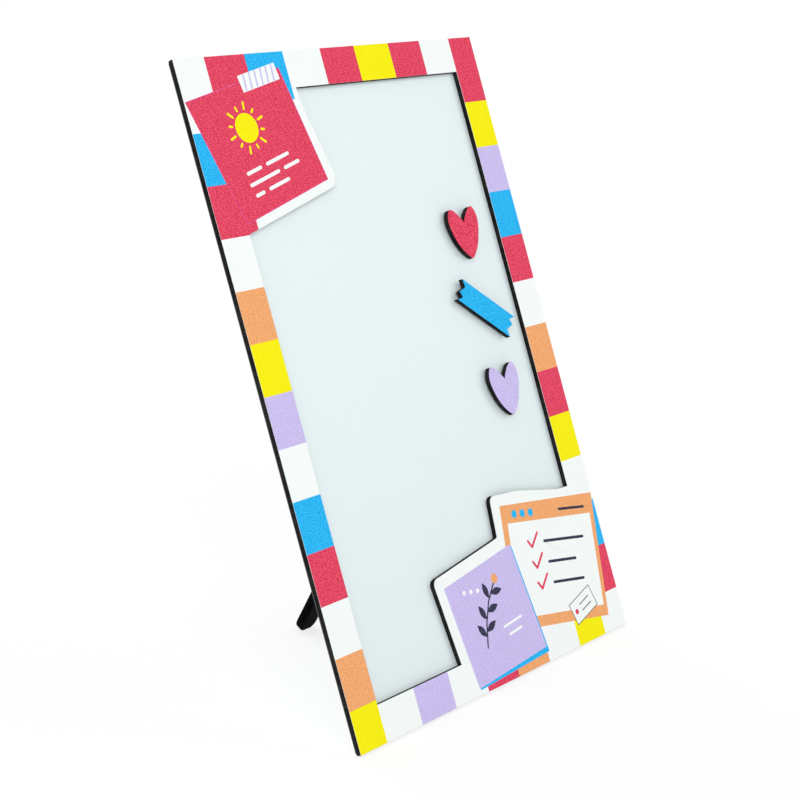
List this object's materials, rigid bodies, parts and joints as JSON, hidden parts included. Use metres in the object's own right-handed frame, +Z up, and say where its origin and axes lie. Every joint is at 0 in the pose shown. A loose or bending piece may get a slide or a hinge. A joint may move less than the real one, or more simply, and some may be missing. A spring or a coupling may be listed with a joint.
{
  "type": "magnetic memo board",
  "caption": "Upright desk memo board: a printed frame on a white steel panel, leaning back on a folding rear leg, with small die-cut magnets to hold notes.",
  "frame": {"origin": "middle of the footprint, on the table the board stands on", "axes": "+Z up; +X across the board, to the right seen from its face; +Y back, from the face towards the leg's foot"},
  "size_m": [0.195, 0.1302, 0.2869],
  "materials": {
    "fibreboard": "laser-cut fibreboard, its edges charred dark",
    "print": "matt laminated print with a fine canvas texture, in coloured blocks",
    "print_red": "matt laminated print, crimson",
    "print_lilac": "matt laminated print, lilac",
    "print_blue": "matt laminated print, bright blue",
    "white_steel": "smooth glossy bluish-white coating on steel sheet",
    "tape": "thin double-sided tape",
    "foam": "white adhesive foam",
    "black_plastic": "fine satin moulded plastic",
    "pin_steel": "plain steel wire",
    "magnet": "nickel-plated disc magnet"
  },
  "bodies": {
    "board": {"frame_board": "fibreboard", "frame_print": "print", "frame_tape": "tape", "steel_panel": "white_steel", "leg_base": "black_plastic", "leg_base_pad": "foam", "hinge_pin": "pin_steel"},
    "leg": {"leg": "black_plastic"},
    "red_heart": {"red_heart_board": "fibreboard", "red_heart_print": "print_red", "red_heart_magnet": "magnet", "red_heart_adhesive": "tape"},
    "blue_strip": {"blue_strip_board": "fibreboard", "blue_strip_print": "print_blue", "blue_strip_magnets": "magnet", "blue_strip_adhesive": "tape"},
    "lilac_heart": {"lilac_heart_board": "fibreboard", "lilac_heart_print": "print_lilac", "lilac_heart_magnet": "magnet", "lilac_heart_adhesive": "tape"}
  },
  "joints": [
    {"name": "leg_fold", "type": "hinge", "parent": "board", "child": "leg", "pos_m": [0, -0.01608, 0.12472], "axis": [-1, 0, 0], "range_deg": [0, 50]},
    {"name": "red_heart_lift", "type": "slide", "parent": "board", "child": "red_heart", "axis": [0, -0.9537, 0.3007], "range_m": [0, 0.025]},
    {"name": "blue_strip_lift", "type": "slide", "parent": "board", "child": "blue_strip", "axis": [0, -0.9537, 0.3007], "range_m": [0, 0.025]},
    {"name": "lilac_heart_lift", "type": "slide", "parent": "board", "child": "lilac_heart", "axis": [0, -0.9537, 0.3007], "range_m": [0, 0.025]}
  ]
}
